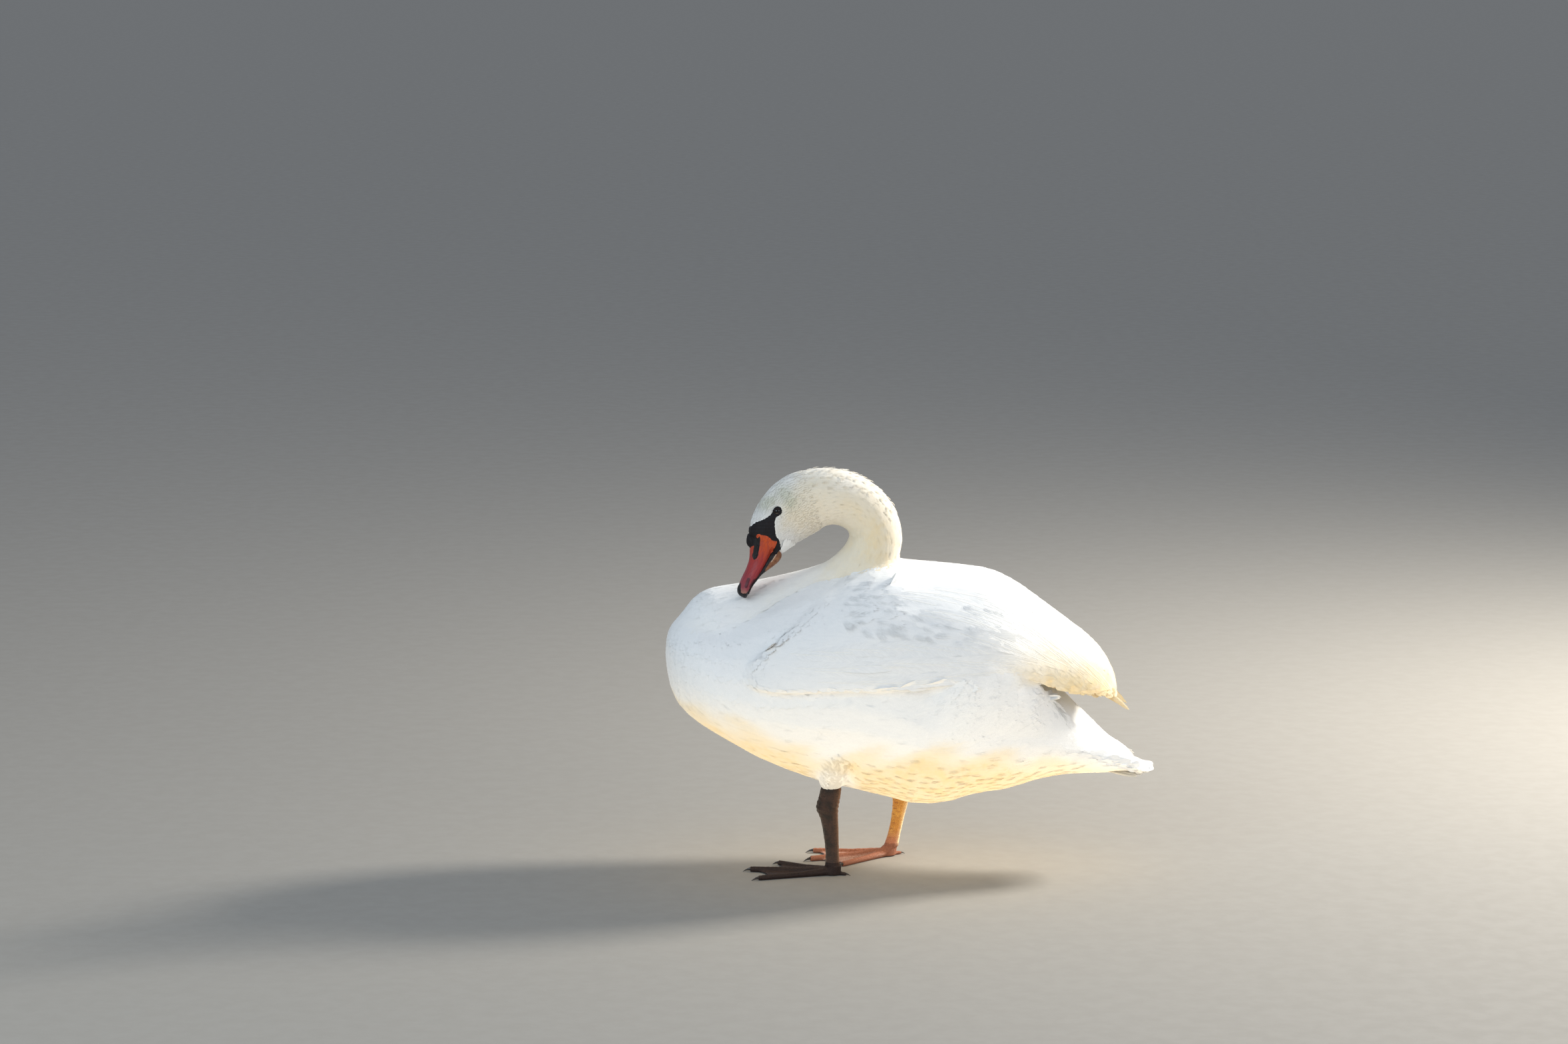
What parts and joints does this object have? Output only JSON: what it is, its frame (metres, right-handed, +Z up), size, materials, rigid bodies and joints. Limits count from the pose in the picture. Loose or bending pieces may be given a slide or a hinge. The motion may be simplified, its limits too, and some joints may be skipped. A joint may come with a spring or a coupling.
{
  "type": "mute swan",
  "caption": "Standing mute swan, a still, life-size model with folded wings that bends its neck back and turns its bill down to preen its breast.",
  "frame": {"origin": "on the floor under the middle of the bird's box, between its feet and its midline", "axes": "-X the way the breast faces, -Y the bird's left, +Z up"},
  "size_m": [0.75, 0.3446, 0.6236],
  "materials": {
    "plumage": "soft white feathers, warmer on the neck and under the belly",
    "bill": "orange-red horn with black lores, knob, nostril, edge and nail",
    "lower_bill": "brown-orange horn",
    "eye": "wet dark brown",
    "dark_skin": "scaly blackish brown leg skin",
    "ochre_skin": "scaly ochre leg skin",
    "claw": "dark horn"
  },
  "bodies": {
    "root": {"bill_lower": "lower_bill", "bill_upper": "bill", "claw_left_hind": "claw", "claw_left_inner": "claw", "claw_left_middle": "claw", "claw_left_outer": "claw", "claw_right_hind": "claw", "claw_right_inner": "claw", "claw_right_middle": "claw", "claw_right_outer": "claw", "eye_left": "eye", "eye_right": "eye", "flight_tip_left": "plumage", "flight_tip_right": "plumage", "foot_left": "dark_skin", "foot_right": "ochre_skin", "head": "plumage", "leg_left": "dark_skin", "leg_right": "ochre_skin", "neck_lower": "plumage", "neck_middle": "plumage", "neck_upper": "plumage", "tail": "plumage", "thigh_left": "plumage", "thigh_right": "plumage", "trunk": "plumage", "wing_left": "plumage", "wing_right": "plumage"}
  },
  "joints": []
}
